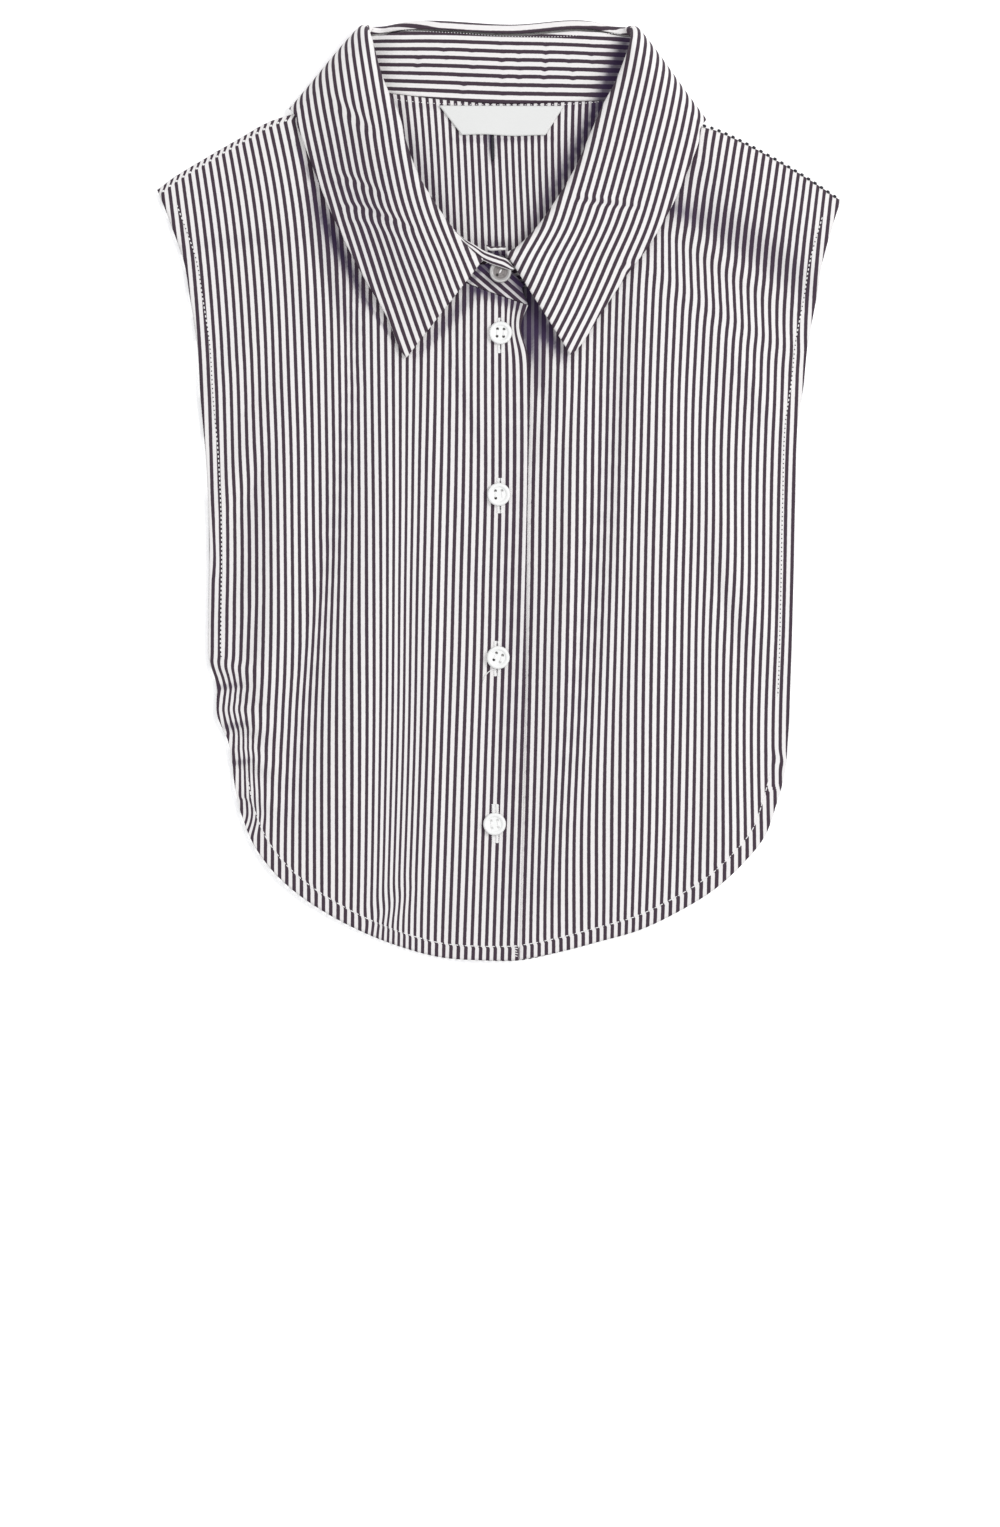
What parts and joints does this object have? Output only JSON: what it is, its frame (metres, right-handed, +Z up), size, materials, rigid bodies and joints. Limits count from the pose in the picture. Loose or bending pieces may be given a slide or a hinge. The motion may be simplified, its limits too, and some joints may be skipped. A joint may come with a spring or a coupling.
{
  "type": "dickey collar",
  "caption": "Buttoned false shirt front with a pointed turn-down collar on a stand, front and back bibs, lying flat on its back.",
  "frame": {"origin": "on the surface the garment lies on, under the middle of its bounding box", "axes": "+Z up out of the lying garment, through its fronts; +Y from the hem to the collar; +X to the right for someone looking down at the fronts, which is the wearer's left"},
  "size_m": [0.325, 0.4477, 0.0147],
  "materials": {
    "striped_cotton": "matt woven cotton shirting, dark plum and white stripes",
    "label_cloth": "plain woven satin tape",
    "button_white": "soft gloss",
    "button_grey": "pearly gloss"
  },
  "bodies": {
    "root": {"back": "striped_cotton", "front_over": "striped_cotton", "front_under": "striped_cotton", "collar_stand": "striped_cotton", "collar_fall": "striped_cotton", "label": "label_cloth", "button_1": "button_white", "button_2": "button_white", "button_3": "button_white", "button_4": "button_white", "stand_button": "button_grey"}
  },
  "joints": []
}
